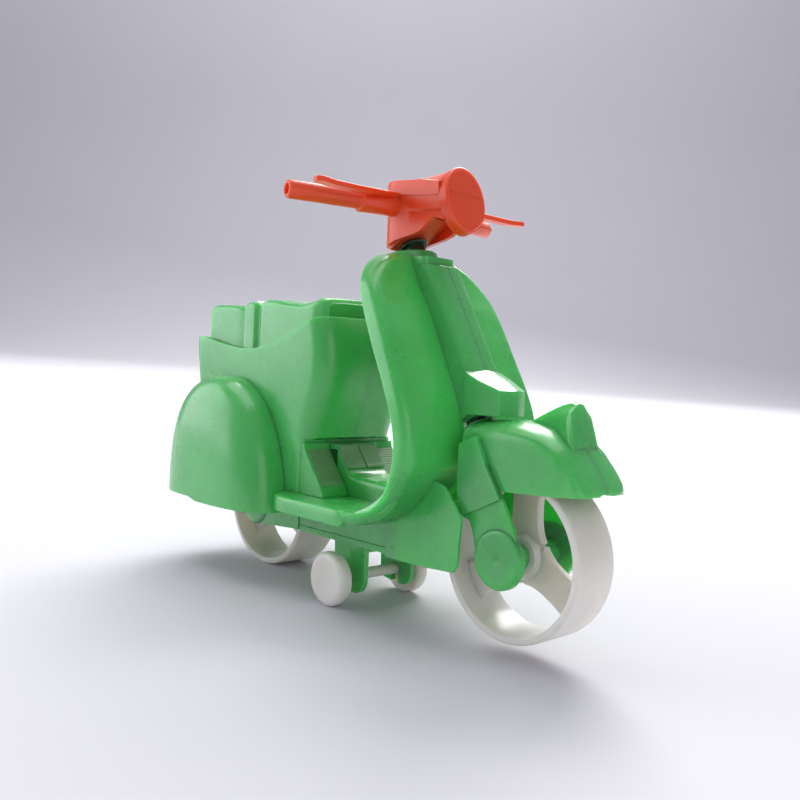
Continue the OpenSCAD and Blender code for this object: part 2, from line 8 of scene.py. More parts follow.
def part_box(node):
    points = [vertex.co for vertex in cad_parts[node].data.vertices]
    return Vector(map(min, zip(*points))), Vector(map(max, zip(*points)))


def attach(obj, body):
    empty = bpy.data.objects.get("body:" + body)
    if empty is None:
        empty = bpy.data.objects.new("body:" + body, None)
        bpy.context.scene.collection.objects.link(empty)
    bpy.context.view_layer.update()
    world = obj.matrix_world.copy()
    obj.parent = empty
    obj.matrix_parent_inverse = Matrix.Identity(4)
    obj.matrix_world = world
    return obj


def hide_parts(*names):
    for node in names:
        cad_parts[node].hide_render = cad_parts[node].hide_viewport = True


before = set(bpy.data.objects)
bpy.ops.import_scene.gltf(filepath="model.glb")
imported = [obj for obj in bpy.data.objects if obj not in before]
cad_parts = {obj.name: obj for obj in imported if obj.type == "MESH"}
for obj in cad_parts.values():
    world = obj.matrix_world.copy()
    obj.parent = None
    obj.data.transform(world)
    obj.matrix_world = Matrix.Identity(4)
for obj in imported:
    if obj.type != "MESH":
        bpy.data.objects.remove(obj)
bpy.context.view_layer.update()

# ---------------------------------------------------------------- the scooter's level frame
# Pieces are drawn in millimetres in the level frame: origin on the line under both main wheels,
# below the front axle, +X forward, +Y left, +Z up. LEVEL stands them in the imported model's place.

MM = 0.001


def middle(node):
    """Centre of a CAD node, in metres."""
    low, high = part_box(node)
    return (low + high) / 2


front_axle = middle("front_wheel")
rear_axle = middle("rear_wheel")
axle_gap = front_axle - rear_axle
wheel_r = (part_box("rear_wheel")[1].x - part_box("rear_wheel")[0].x) / 2 / MM
wheelbase = axle_gap.length / MM
nose_up = math.atan2(axle_gap.z, axle_gap.x)
LEVEL = (
    Matrix.Translation(front_axle)
    @ Matrix.Rotation(-nose_up, 4, "Y")
    @ Matrix.Translation((0, 0, -wheel_r * MM))
    @ Matrix.Scale(MM, 4)
)
TO_LEVEL = LEVEL.inverted()


def level_box(node):
    """Lowest and highest corner of a CAD node in the level frame, in millimetres."""
    points = [TO_LEVEL @ v.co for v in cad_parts[node].data.vertices]
    low = Vector([min(p[i] for p in points) for i in range(3)])
    high = Vector([max(p[i] for p in points) for i in range(3)])
    return low, high


# ---------------------------------------------------------------- sizes, in millimetres

WALL = 1.2
RAKE = math.radians(29.7)
FLOOR_Z = 20
FLOOR_HALF = level_box("body_left")[1].y
REAR_HALF = 12.5
RAIL_Z = level_box("chassis_plate")[0].z
CHEEK_OUT = 9.9
GUARD_HALF = level_box("mudguard_left")[1].y
DISC_OUT = level_box("fork_leg_left")[1].y
DISC_R = 5.3
STUB_R = 2
POST_R = 2.05
CAP_RISE = 3.45
CAP_SEAT = level_box("column_cap")[1].z - CAP_RISE

# ---------------------------------------------------------------- small mesh tools


def through(points, steps):
    """A smooth curve through the points, with this many steps between neighbours."""
    ends = [points[0], *points, points[-1]]
    out = []
    for a, b, c, d in zip(ends, ends[1:], ends[2:], ends[3:]):
        for i in range(steps):
            t = i / steps
            out.append(tuple(
                0.5 * (2 * q + (r - p) * t + (2 * p - 5 * q + 4 * r - s) * t * t
                       + (3 * q - p - 3 * r + s) * t ** 3)
                for p, q, r, s in zip(a, b, c, d)
            ))
    out.append(tuple(points[-1]))
    return out


def along(table, x):
    """Value at x in a table of (x, value) pairs sorted by x, smoothly joined."""
    if x <= table[0][0]:
        return table[0][1]
    for (x0, v0), (x1, v1) in zip(table, table[1:]):
        if x <= x1:
            t = (x - x0) / (x1 - x0)
            t = t * t * (3 - 2 * t)
            return v0 + (v1 - v0) * t
    return table[-1][1]


def straight(table, x):
    """Value at x in a table of (x, value) pairs sorted by x, joined by straight lines."""
    if x <= table[0][0]:
        return table[0][1]
    for (x0, v0), (x1, v1) in zip(table, table[1:]):
        if x <= x1:
            return v0 + (v1 - v0) * (x - x0) / (x1 - x0)
    return table[-1][1]


def spread(a, b, count):
    """Even steps from a to b, both ends in."""
    return [a + (b - a) * i / count for i in range(count + 1)]


class Form:
    """Points and faces of one piece, in level millimetres."""

    def __init__(self):
        self.points = []
        self.faces = []

    def add(self, points):
        start = len(self.points)
        self.points += [tuple(p) for p in points]
        return list(range(start, start + len(points)))

    def strip(self, a, b, closed=False):
        pairs = list(zip(range(len(a)), range(1, len(a))))
        if closed:
            pairs.append((len(a) - 1, 0))
        self.faces += [(a[i], a[j], b[j], b[i]) for i, j in pairs]

    def loft(self, rings, caps=True):
        """Joins closed rings of points, with a flat face on each end."""
        made = [self.add(r) for r in rings]
        for a, b in zip(made, made[1:]):
            self.strip(a, b, closed=True)
        if caps:
            self.faces += [tuple(made[0]), tuple(reversed(made[-1]))]
        return self

    def shell(self, outer, inner):
        """A wall between two skins, each a list of open rows of points."""
        out = [self.add(r) for r in outer]
        into = [self.add(r) for r in inner]
        for rows in (out, into):
            for a, b in zip(rows, rows[1:]):
                self.strip(a, b)
        self.strip(out[0], into[0])
        self.strip(out[-1], into[-1])
        self.strip([r[0] for r in out], [r[0] for r in into])
        self.strip([r[-1] for r in out], [r[-1] for r in into])
        return self

    def slab(self, outline, y0, y1):
        """An (x, z) outline between two y planes."""
        return self.loft([[(x, y, z) for x, z in outline] for y in (y0, y1)])

    def tube(self, centre, radii, steps=72):
        """Rings about a line along y through (x, z): radii is a list of (y, radius)."""
        x, z = centre
        rings = []
        for y, r in radii:
            turn = [2 * math.pi * i / steps for i in range(steps)]
            rings.append([(x + r * math.cos(a), y, z + r * math.sin(a)) for a in turn])
        return self.loft(rings)

    def moved(self, change):
        self.points = [tuple(change(Vector(p))) for p in self.points]
        return self

    def flipped(self):
        """The same form on the other side of the centre plane."""
        return self.moved(lambda p: (p.x, -p.y, p.z))

    def plus(self, other):
        start = len(self.points)
        self.points += other.points
        self.faces += [tuple(i + start for i in f) for f in other.faces]
        return self


def on_axis(p):
    """From the steering axis (z up the axis from the front axle) to the level frame."""
    x = p.x * math.cos(RAKE) - p.z * math.sin(RAKE)
    z = p.x * math.sin(RAKE) + p.z * math.cos(RAKE)
    return (x, p.y, z + wheel_r)


def piece(name, form, body, nodes, look, bevel=0.22, segments=3, angle=32, weld=0.004):
    """Makes the object, softens its edges, and puts it on its body."""
    mesh = bpy.data.meshes.new(name)
    bm = bmesh.new()
    made = [bm.verts.new(LEVEL @ Vector(p)) for p in form.points]
    for face in form.faces:
        corners = [made[i] for i in face]
        if len(set(corners)) > 2:
            try:
                bm.faces.new(corners)
            except ValueError:
                pass
    bmesh.ops.remove_doubles(bm, verts=bm.verts, dist=weld * MM)
    bmesh.ops.dissolve_degenerate(bm, edges=bm.edges, dist=weld * MM / 4)
    loose = [v for v in bm.verts if not v.link_faces]
    bmesh.ops.delete(bm, geom=loose, context="VERTS")
    bmesh.ops.recalc_face_normals(bm, faces=bm.faces)
    for face in bm.faces:
        face.smooth = True
    bm.to_mesh(mesh)
    bm.free()
    obj = bpy.data.objects.new(name, mesh)
    bpy.context.scene.collection.objects.link(obj)
    if bevel:
        soft = obj.modifiers.new("soft_edges", "BEVEL")
        soft.width = bevel * MM
        soft.segments = segments
        soft.limit_method = "ANGLE"
        soft.angle_limit = math.radians(angle)
        soft.harden_normals = True
        soft.use_clamp_overlap = True
    else:
        mesh.set_sharp_from_angle(angle=math.radians(angle))
    material, slot = look
    mesh.materials.append(material)
    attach(obj, body)
    if nodes:
        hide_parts(*nodes)
    return obj


def both_sides(name, build, body, node, look, shared=False, **kw):
    """The right-hand piece and its mirror image on the left; both may stand for one shared node."""
    for side, form in (("_right", build()), ("_left", build().flipped())):
        piece(name + side, form, body, [node if shared else node + side], look, **kw)


# ---------------------------------------------------------------- materials


def plastic(name, pale, deep, rough, scatter, wax, grain=0.02, coat=0.4):
    """Soft moulded plastic: flow clouds, a few specks, fine scuffs and a little light inside."""
    material = bpy.data.materials.new(name)
    material.use_nodes = True
    nodes = material.node_tree.nodes
    link = material.node_tree.links.new
    shader = nodes["Principled BSDF"]
    place = nodes.new("ShaderNodeTexCoord").outputs["Object"]

    def clouds(scale, detail, distortion=0.0):
        node = nodes.new("ShaderNodeTexNoise")
        node.inputs["Scale"].default_value = scale
        node.inputs["Detail"].default_value = detail
        node.inputs["Distortion"].default_value = distortion
        link(place, node.inputs["Vector"])
        return node.outputs["Fac"]

    def ramp(source, stops):
        node = nodes.new("ShaderNodeValToRGB")
        link(source, node.inputs["Fac"])
        elements = node.color_ramp.elements
        while len(elements) < len(stops):
            elements.new(0.5)
        for element, (at, colour) in zip(elements, stops):
            element.position = at
            element.color = (*colour, 1)
        return node.outputs["Color"]

    def between(source, low, high, to_low, to_high):
        node = nodes.new("ShaderNodeMapRange")
        link(source, node.inputs["Value"])
        node.inputs["From Min"].default_value = low
        node.inputs["From Max"].default_value = high
        node.inputs["To Min"].default_value = to_low
        node.inputs["To Max"].default_value = to_high
        return node.outputs["Result"]

    flow = clouds(55, 2, 0.2)
    colour = ramp(flow, [(0.3, deep), (0.7, pale)])
    specks = between(clouds(1300, 1), 0.79, 0.83, 0, 0.6)
    mix = nodes.new("ShaderNodeMix")
    mix.data_type = "RGBA"
    link(specks, mix.inputs["Factor"])
    link(colour, mix.inputs["A"])
    mix.inputs["B"].default_value = (*[0.45 * c + 0.35 * 0.8 for c in pale], 1)
    link(mix.outputs["Result"], shader.inputs["Base Color"])
    scuffs = between(clouds(160, 4), 0.35, 0.7, rough - 0.06, rough + 0.08)
    link(scuffs, shader.inputs["Roughness"])
    waves = nodes.new("ShaderNodeBump")
    waves.inputs["Strength"].default_value = 0.22
    waves.inputs["Distance"].default_value = 0.0003
    link(clouds(95, 1), waves.inputs["Height"])
    fine = nodes.new("ShaderNodeBump")
    fine.inputs["Strength"].default_value = 0.2
    fine.inputs["Distance"].default_value = grain * MM
    link(clouds(2600, 3), fine.inputs["Height"])
    link(waves.outputs["Normal"], fine.inputs["Normal"])
    link(fine.outputs["Normal"], shader.inputs["Normal"])
    shader.inputs["Subsurface Weight"].default_value = scatter
    shader.inputs["Subsurface Radius"].default_value = wax
    shader.inputs["Subsurface Scale"].default_value = 0.004
    shader.inputs["IOR"].default_value = 1.5
    shader.inputs["Coat Weight"].default_value = coat
    shader.inputs["Coat Roughness"].default_value = 0.16
    return material


GREEN = (plastic("green_plastic", (0.095, 0.52, 0.14), (0.05, 0.43, 0.085), 0.3, 0.65,
                 (0.25, 1.0, 0.3)), "green_plastic")
# Pads on the foot ramps and tunnel: green plastic with a paler, greyish tint that is painted sheen,
# standing in for light glancing off their fine ribs.
PAINTED_SHEEN_PAD = (plastic("pad_painted_sheen", (0.30, 0.42, 0.24), (0.12, 0.33, 0.12), 0.42, 0.2,
               (0.5, 1.0, 0.5), 0.06), "green_plastic")
RED = (plastic("red_plastic", (0.88, 0.085, 0.014), (0.78, 0.055, 0.009), 0.36, 0.35,
               (1.0, 0.25, 0.08), coat=0.15), "red_plastic")
# Steering post and clip: near-black green, painted shade; it is the colour the post shows in the shade
# inside the column and the handlebar.
POST_SHADE = (plastic("post_painted_shade", (0.01, 0.045, 0.018), (0.006, 0.03, 0.012), 0.3, 0.05,
                (0.3, 1.0, 0.4)), "dark_green_plastic")
WHITE = (plastic("white_plastic", (0.80, 0.78, 0.74), (0.74, 0.69, 0.60), 0.36, 0.5,
                 (1.0, 0.85, 0.65)), "white_plastic")

# ---------------------------------------------------------------- leg shield and floor

# front skin of the leg shield, top to underside: (x, z)
SHIELD_FRONT = [
    (-28.6, 69.2), (-26.4, 64.6), (-22.2, 57.7), (-18.5, 50.4), (-15.1, 43.5), (-13.1, 38.3),
    (-12.4, 33.5), (-12.9, 29.5), (-14.7, 26), (-17.6, 22.8), (-21.4, 19.9), (-26, 17.7),
    (-30, 16.9),
]
# rider's edge of its side wall, at matching places
SHIELD_BACK = [
    (-33.4, 69.5), (-30.4, 64.7), (-27.2, 58), (-23.8, 51.3), (-20.3, 45.2), (-17.6, 39.6),
    (-16.2, 34.2), (-16.3, 30), (-17.4, 26.2), (-19.3, 23.2), (-22.6, 20.9), (-26.6, 20),
    (-30, 20),
]
# front view of the leg shield: (level, half width)
SHIELD_EDGE = [
    (10, 18.4), (37, 18.4), (43, 18.2), (52, 17.6), (60, 17), (63.4, 16), (66.3, 13.8), (68.4, 10.6),
    (69.5, 7.4), (69.95, 5), (70.1, 3),
]
SHIELD_WIDE = [tuple(p) for p in through(SHIELD_EDGE, 6)]
EDGE_R = 2.3
# shallow sink bands across the front of the leg shield: (level, depth)
SINKS = [(62, 0.17), (55.5, 0.22), (49, 0.19), (42.5, 0.15), (36, 0.1)]


def shield_stations():
    """Front skin, rider's edge and half width, from the top of the leg shield down and back."""
    joined = [(*f, *b) for f, b in zip(SHIELD_FRONT, SHIELD_BACK)]
    rows = []
    for p in through(joined, 6):
        rows.append(((p[0], p[1]), (p[2], p[3]), straight(SHIELD_WIDE, p[1])))
    (fx, fz), (bx, bz) = SHIELD_FRONT[0], SHIELD_BACK[0]
    arch = []
    for level in (69.65, 69.5):
        up = level - fz
        front = (fx - 0.5 * up, level)
        arch.append((front, (bx - 0.5 * up, level + bz - fz), straight(SHIELD_WIDE, level)))
    return arch + rows


def shield_row(front, back, wide, inset):
    """One row across the leg shield: from the column out to the edge, then to the rider's side."""
    fx, fz = front
    bx, bz = back
    depth = math.hypot(bx - fx, bz - fz)
    ux, uz = (bx - fx) / depth, (bz - fz) / depth
    r = max(EDGE_R - inset, 0.35)
    y_end = wide - inset
    row = []

    def put(y, into):
        sink = sum(d * math.exp(-((fz - level) / 1.1) ** 2) for level, d in SINKS)
        if into < 0.3 and inset == 0:
            into += sink * min(1, max(0, (abs(y) - 4.2) / 2)) * min(1, max(0, (y_end - 1 - abs(y)) / 2))
        row.append((fx + ux * into, -y, fz + uz * into))

    for y in spread(3.9, y_end - r, 9):
        put(y, inset)
    for a in spread(0, 90, 6)[1:]:
        put(y_end - r + r * math.sin(math.radians(a)), inset + r * (1 - math.cos(math.radians(a))))
    for into in spread(inset + r, depth, 3)[1:]:
        put(y_end, into)
    return row


def leg_shield():
    rows = shield_stations()
    return Form().shell(
        [shield_row(f, b, w, 0) for f, b, w in rows],
        [shield_row(f, b, w, WALL) for f, b, w in rows],
    )


# top skin of the floor, from the back forward and up the foot of the leg shield
FLOOR_TOP = [
    (-56, FLOOR_Z), (-42, FLOOR_Z), (-28.5, FLOOR_Z), (-23.4, 20.5), (-19.8, 22.6), (-17.4, 26),
    (-16.6, 30.4),
]


# half width of the floorboard where it narrows to the rear body: (x, half width)
FLOOR_END = [(-57, 13.2), (-56, 14), (-54.5, 16.6), (-53, 17.8), (-51, 18.3), (-49, 18.4), (-20, 18.4)]


def floor_skin():
    """Floorboard with its side wall behind the leg shield; its front turns up inside it."""
    path = through(FLOOR_TOP, 5)
    outer = []
    inner = []
    for i, (x, z) in enumerate(path):
        a = path[max(i - 1, 0)]
        b = path[min(i + 1, len(path) - 1)]
        run = math.hypot(b[0] - a[0], b[1] - a[1])
        nx, nz = (b[1] - a[1]) / run, -(b[0] - a[0]) / run
        wide = min(FLOOR_HALF, straight(FLOOR_END, x)) if x < -29.5 else FLOOR_HALF - 1.1
        drop = 3.2 if x < -29.5 else 1.25
        for rows, inset in ((outer, 0), (inner, WALL - 0.15)):
            row = [(x + nx * inset, -y, z + nz * inset) for y in spread(0, wide - inset - 0.7, 8)]
            row.append((x + nx * (inset + 0.2), -(wide - inset - 0.2), z + nz * (inset + 0.2)))
            row.append((x + nx * (inset + 0.7), -(wide - inset), z + nz * (inset + 0.7)))
            row.append((x + nx * max(drop, inset + 0.9), -(wide - inset), z + nz * max(drop, inset + 0.9)))
            rows.append(row)
    return Form().shell(outer, inner)


def column():
    """Box round the steering post, right half, with its rounded front edge."""
    outer = [(6.3, 0), (6.3, -2.2), (6.15, -3.1), (5.7, -3.75), (5.0, -4.1), (4.2, -4.25), (0, -4.25),
             (-3.2, -4.2), (-3.9, -3.4), (-3.9, 0)]
    inner = [(5.2, 0), (5.2, -2.0), (5.1, -2.5), (4.8, -2.85), (4.5, -3.0), (4.2, -3.1), (0, -3.1),
             (-2.4, -3.1), (-2.8, -2.8), (-2.8, 0)]
    low = 26.9

    def column_row(plan, t):
        row = []
        for x, y in plan:
            top = (CAP_SEAT - wheel_r - x * math.sin(RAKE)) / math.cos(RAKE)
            row.append((x, y, low + (top - low) * t))
        return row

    form = Form().shell(
        [column_row(outer, t) for t in spread(0, 1, 12)],
        [column_row(inner, t) for t in spread(0, 1, 12)],
    )
    return form.moved(on_axis)


# ---------------------------------------------------------------- rear body

# front of the rear body on the centre plane: (z, x)
REAR_FRONT = [
    (14.9, -51.5), (31.2, -51.5), (31.5, -48.9), (33.2, -48.5), (36.8, -46.9), (40.6, -45.4),
    (43.6, -44.4), (46.6, -43.9), (50.6, -43.8), (53.6, -44.5), (56, -45.4), (57.6, -46.2),
]
# tail: (z, x)
REAR_TAIL = [(13, -95), (41, -95.7), (53.6, -97.6)]
# lower edge: (x, z)
REAR_LOW = [(-95, 14.4), (-91.5, 13), (-70, 13.9), (-51.5, 15)]
# shoulder line: (x, z)
SHOULDER = [
    (-97.8, 53.5), (-93.2, 53.2), (-84, 51.5), (-77, 50.6), (-71, 50.5), (-65, 51.5),
    (-59.7, 53.1), (-55.5, 54.6), (-51.5, 56.2), (-48.5, 57.4), (-44, 57.7),
]
FRONT_CORNER = 5.4
TAIL_CORNER = 3


def rear_plan(z, inset):
    """Right half of the rear body in plan at level z, from the front to the tail."""
    front = straight(REAR_FRONT, z) - inset
    tail = straight(REAR_TAIL, z) + inset
    half = REAR_HALF - inset
    corner = max(FRONT_CORNER - inset, 1)
    if z < 31.3:
        corner = 1
    row = [(front, -y) for y in spread(0, half - corner, 5)]
    for a in spread(0, 90, 8)[1:]:
        s, c = math.sin(math.radians(a)), math.cos(math.radians(a))
        row.append((front - corner * (1 - c), -(half - corner + corner * s)))
    back = max(TAIL_CORNER - inset, 0.6)
    for x in spread(front - corner, tail + back, 16)[1:]:
        row.append((x, -half))
    for a in spread(0, 90, 5)[1:]:
        s, c = math.sin(math.radians(a)), math.cos(math.radians(a))
        row.append((tail + back * (1 - s), -(half - back + back * c)))
    row.append((tail, 0))
    return row


def rear_shell():
    """Right half of the rear body: wall from the lower edge to the shoulder."""
    low = 14
    marks = [0, 0.2, 0.395, 0.402, 0.408, 0.43, 0.5, 0.58, 0.66, 0.74, 0.82, 0.9, 0.96, 1]
    outer = []
    inner = []
    for t in marks:
        for rows, inset in ((outer, 0), (inner, WALL)):
            row = []
            for i, (x, y) in enumerate(rear_plan(low + t * (57.7 - low), inset)):
                bottom = straight(REAR_LOW, x)
                top = straight(SHOULDER, x) - (0.02 if inset else 0)
                z = bottom + t * (top - bottom)
                if i < 14:
                    z = low + 1 + t * (top - low - 1)
                row.append((x, y, z))
            rows.append(row)
    return Form().shell(outer, inner)


def deck():
    """Top of the rear body under and around the seat."""
    rings = []
    for x in spread(-97.4, -46.4, 40):
        z = straight(SHOULDER, x) - 0.35
        half = REAR_HALF - 0.6
        if x > -50:
            half = REAR_HALF - 0.6 - (x + 50) * 0.62
        if x < -95:
            half = REAR_HALF - 0.6 - (-95 - x) * 0.9
        rings.append([(x, -half, z), (x, half, z), (x, half, z - 0.9), (x, -half, z - 0.9)])
    return Form().loft(rings)


# seat: (x, top level) and (x, half width)
SEAT_TOP = [
    (-93.5, 60.1), (-93.1, 60.9), (-91.8, 61.25), (-86, 61.05), (-79.4, 60.5), (-78.5, 59.9),
    (-77.6, 60.7), (-76.4, 61.35), (-73.8, 61.5), (-72.5, 60.6), (-71.9, 60.5), (-71.2, 61.4),
    (-69.6, 61.75), (-66, 61.6), (-61, 60.85), (-56, 60.4), (-52.4, 60.9), (-50, 61.6),
    (-48.7, 61.3), (-48.1, 60.4),
]
SEAT_HALF = [
    (-93.5, 10.2), (-93, 10.6), (-80, 10.6), (-78.6, 10.3), (-77.6, 11), (-76.8, 11.2),
    (-73.4, 11.2), (-72.5, 10.4), (-71.9, 10.3), (-71, 10.7), (-60, 10.7), (-52, 10.6),
    (-49.4, 10), (-48.1, 9.1),
]


def seat():
    """Pillion pad, strap and saddle in one moulding, with crowned tops."""
    stations = [x for x, _ in through(SEAT_TOP, 3)]
    rings = []
    for x in stations:
        top = along(SEAT_TOP, x)
        half = along(SEAT_HALF, x)
        base = straight(SHOULDER, x) - 0.5
        r = 1.5
        ring = [(x, -half * 1.01, base), (x, -half, base + 2)]
        for a in spread(0, 90, 5):
            s, c = math.sin(math.radians(a)), math.cos(math.radians(a))
            ring.append((x, -(half - r + r * c), top - r + r * s))
        for y in spread(-(half - r), half - r, 6)[1:-1]:
            crown = 0.25 * (1 - (y / half) ** 2)
            ring.append((x, y, top + crown))
        ring += [(x, -p[1], p[2]) for p in reversed(ring[:8])]
        rings.append(ring)
    return Form().loft(rings)


# ---------------------------------------------------------------- cowls

COWL_MID = -78
COWL_FRONT = 21.8
COWL_BACK = 19.4
COWL_RISE = 28.8
COWL_BULGE = 9.5
COWL_LOW = 15.3


def cowl_rows(inset):
    """Rows over the right cowl, this far in from its outer skin."""
    rows = []
    for a in spread(0, 90, 26):
        shrink = max(math.cos(math.radians(a)), 0) ** 0.62
        depth = math.sin(math.radians(a)) ** 0.62
        row = []
        for b in spread(0, 180, 60):
            c, s = math.cos(math.radians(b)), max(math.sin(math.radians(b)), 0)
            power = 2 if b < 90 else 2.8
            reach = (COWL_FRONT if b < 90 else COWL_BACK) - inset
            x = COWL_MID + math.copysign(reach * shrink * abs(c) ** (2 / power), c)
            y = -(REAR_HALF + 0.05) - (COWL_BULGE - inset) * depth
            z = COWL_LOW + (COWL_RISE - inset) * shrink * s ** (2 / power)
            if x < COWL_MID - 2:
                z += 0.75 * max(0, 1 - (z - COWL_LOW) / 6)
            row.append((x, y, z))
        rows.append(row)
    return rows


def cowl():
    return Form().shell(cowl_rows(0), cowl_rows(WALL))


# ---------------------------------------------------------------- foot ramps, tunnel, rail


def pad_ribs(start, end, y0, y1, pitch=0.62, high=0.16, wide=0.3):
    """Fine raised ribs across a sloping pad, from start to end (x, z)."""
    form = Form()
    length = math.hypot(end[0] - start[0], end[1] - start[1])
    ux, uz = (end[0] - start[0]) / length, (end[1] - start[1]) / length
    count = int(length / pitch)
    for i in range(count):
        at = (i + 0.5) * pitch
        corners = [(at - wide / 2, 0), (at - wide / 4, high), (at + wide / 4, high), (at + wide / 2, 0)]
        form.slab([(start[0] + ux * t - uz * -h, start[1] + uz * t + ux * -h * -1) for t, h in corners],
                  y0, y1)
    return form


def foot_ramp():
    return Form().slab(
        [(-51.4, 30.6), (-50.5, 30.8), (-50.1, 29.2), (-44.4, 22.2), (-43.5, 20.7), (-43.4, 20.02),
         (-51.4, 20.02)], -12.4, -5.7)


def ramp_pad():
    return Form().slab(
        [(-50.6, 30.72), (-50.15, 29.35), (-44.5, 22.42), (-44.8, 22.1), (-50.6, 29.2)], -11.9, -6.1,
    ).plus(pad_ribs((-50.0, 29.25), (-44.7, 22.75), -11.6, -6.4))


def tunnel():
    top = through([(-47.7, 30.6), (-47.3, 29.3), (-44.4, 25.6), (-42.8, 24.5), (-40, 24.2),
                   (-30, 23.8), (-21.2, 23.5)], 4)
    outer = []
    inner = []
    for x, z in top:
        for rows, inset in ((outer, 0), (inner, 1)):
            half = 5.5 - inset
            row = [(x, -half, 19.9), (x, -half, z - 1.3 - inset / 2)]
            for a in spread(0, 90, 4)[1:]:
                s, c = math.sin(math.radians(a)), math.cos(math.radians(a))
                r = 1.1
                row.append((x, -(half - r + r * c), z - inset - r + r * s))
            row += [(x, -p[1], p[2]) for p in reversed(row)]
            rows.append(row)
    return Form().shell(outer, inner)


def tunnel_block():
    return Form().slab([(-51.4, 30.6), (-47.7, 30.6), (-47.9, 29.4), (-50.9, 29.4)], -5.4, 5.4)


def tunnel_pad():
    """One half of the sloping pad on the tunnel, split on the centre plane."""
    return Form().slab(
        [(-47.9, 30.62), (-47.05, 29.5), (-44.25, 25.85), (-44.7, 25.5), (-47.9, 29)], -5.1, -0.25,
    ).plus(pad_ribs((-47.1, 29.55), (-44.4, 26.05), -4.9, -0.45))


def rail():
    """Chassis rail under the floor, right half."""
    half = 7.7
    outer = []
    inner = []
    for x in spread(-57.4, -24, 8):
        outer.append([(x, -half, RAIL_Z + WALL + 0.02), (x, -half, 16.8), (x, -half + WALL, 18)])
        inner.append([(x, -half + WALL, RAIL_Z + WALL + 0.02), (x, -half + WALL, 16.5),
                      (x, -half + 2 * WALL, 17.5)])
    return Form().shell(outer, inner)


def cheek():
    """Skirt beside the front wheel."""
    side = [
        (-11.4, 26.3), (-6.9, 21.2), (-7.3, 17), (-7.5, 12.6), (-8.5, 11.3),
        (-16, 10.9), (-26.4, RAIL_Z), (-27, 17.2), (-22, 20.4), (-18.4, 23.2), (-16, 26),
        (-14.9, 27.4),
    ]
    form = Form().slab(side, -CHEEK_OUT, -CHEEK_OUT + 0.75)
    return form.plus(Form().slab(
        [(-27, RAIL_Z), (-24, RAIL_Z), (-24, 17.2), (-27, 17.2)], -CHEEK_OUT + 0.3, -6.6))


# ---------------------------------------------------------------- horn cover and column cap


# back of the horn cover, which stays clear of the steering post, and its lower edge
HORN_BACK = -12.2
HORN_LOW = 39.4


def horn_cover():
    """Cover low on the column: sloping, slightly crowned top, drawn in to a ridged nose."""
    width = [(-16, 5), (-9, 4.9), (-4.8, 3.5), (-3.4, 0.12)]
    top = [(HORN_BACK, 48), (-3.9, 44.1), (-3.4, 44.05)]
    rings = []
    for x in (HORN_BACK, -11.2, -9, -4.8, -3.9, -3.4):
        half = straight(width, x)
        high = straight(top, x)
        low = HORN_LOW if x > HORN_BACK else HORN_LOW + 1.4
        fall = 0.17 * half
        rings.append([(x, -half, low), (x, -half, high - fall), (x, -half * 0.5, high - fall * 0.25),
                      (x, 0, high), (x, half * 0.5, high - fall * 0.25), (x, half, high - fall),
                      (x, half, low)])
    return Form().loft(rings)


def column_cap():
    """Round flange, tipped up a little at the front, on a level plate with a rounded front."""
    form = Form()
    flange = Matrix.Translation((-33.1, 0, CAP_SEAT + 1.3)) @ Matrix.Rotation(math.radians(-7), 4, "Y")
    rings = []
    for z, r in ((0, 5.0), (0, 5.25), (0.15, 5.35), (1.35, 5.35), (1.55, 5.15), (1.55, 3.2)):
        turn = [2 * math.pi * i / 72 for i in range(72)]
        rings.append([flange @ Vector((r * math.cos(a), r * math.sin(a), z)) for a in turn])
    form.loft(rings)
    back, front, half, corner = -36, -24.5, 4.2, 1.4
    plan = [(back, half), (back, -half)]
    plan += [(front - corner + dx, -half + corner + dy) for dx, dy in arc(0, 0, corner, -90, 0, 5)]
    plan += [(front - corner + dx, half - corner + dy) for dx, dy in arc(0, 0, corner, 0, 90, 5)]
    return form.loft([[(x, y, z) for x, y in plan] for z in (CAP_SEAT - 0.02, CAP_SEAT + 1.75)])


# ---------------------------------------------------------------- wheels


def ring_profile(form, centre, profile, steps=120):
    """A closed profile of (radius, y) turned about a line along y through (x, z)."""
    x, z = centre
    rings = []
    for i in range(steps):
        a = 2 * math.pi * i / steps
        rings.append([(x + r * math.cos(a), y, z + r * math.sin(a)) for r, y in profile])
    made = [form.add(r) for r in rings]
    for a, b in zip(made, made[1:] + made[:1]):
        form.strip(a, b, closed=True)
    return form


def arc(cx, cy, r, a0, a1, steps):
    return [(cx + r * math.cos(math.radians(a)), cy + r * math.sin(math.radians(a)))
            for a in spread(a0, a1, steps)]


def main_wheel(x):
    """Broad tyre ring and a hub with a through bore."""
    half = (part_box("front_wheel")[1].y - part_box("front_wheel")[0].y) / 2 / MM
    form = Form()
    edge = 0.55
    profile = arc(wheel_r - edge, half - edge, edge, 90, 0, 4)
    profile += arc(wheel_r - edge, -half + edge, edge, 0, -90, 4)
    profile += [(wheel_r - 1.15, -half), (wheel_r - 1.3, -half + 0.15)]
    profile += [(wheel_r - 1.45, -1), (wheel_r - 1.45, 1)]
    profile += [(wheel_r - 1.3, half - 0.15), (wheel_r - 1.15, half)]
    ring_profile(form, (x, wheel_r), profile)
    hub = [(2.07, -1.7), (3.35, -1.7), (3.6, -1.45), (4.1, -0.9), (4.1, 0.9), (3.6, 1.45),
           (3.35, 1.7), (2.07, 1.7)]
    ring_profile(form, (x, wheel_r), hub, 72)
    return form


def spokes(x):
    """Three spokes, waisted between the hub and the ring."""
    form = Form()
    for turn in (90, 210, 330):
        rings = []
        for r in spread(2.6, wheel_r - 1.2, 12):
            t = (r - 3) / (wheel_r - 4)
            wide = 3.05 + 1.1 * abs(2 * t - 1) ** 3
            thick = 0.85
            c, s = math.cos(math.radians(turn)), math.sin(math.radians(turn))
            ring = []
            for w, y in ((-wide, -thick), (wide, -thick), (wide, thick), (-wide, thick)):
                ring.append((x + r * c - w * s, y, wheel_r + r * s + w * c))
            rings.append(ring)
        form.loft(rings)
    return form


